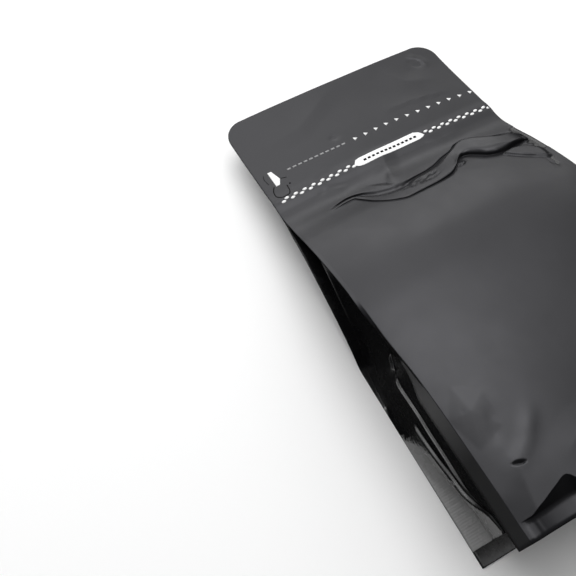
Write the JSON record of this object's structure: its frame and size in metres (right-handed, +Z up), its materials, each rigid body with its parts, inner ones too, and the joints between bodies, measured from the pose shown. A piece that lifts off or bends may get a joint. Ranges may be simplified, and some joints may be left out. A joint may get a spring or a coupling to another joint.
{
  "type": "flat-bottom pouch",
  "caption": "Filled flat-bottom pouch lying on its back: flat header with a press-to-close zipper, buckled front panel, folded side gussets, side and bottom seals.",
  "frame": {"origin": "on the surface the pouch lies on, under the middle of its bounding box", "axes": "+X across the pouch, +Y along it from the flat bottom to the header's free edge, +Z up out of the front panel"},
  "size_m": [0.135, 0.26, 0.0695],
  "materials": {
    "matte_film": "soft-touch matte black laminate on the front and back panels",
    "gloss_film": "glossy black laminate on the side gussets and the bottom",
    "print": "flat white ink on the header"
  },
  "bodies": {
    "root": {"pouch": "matte_film"}
  },
  "joints": []
}
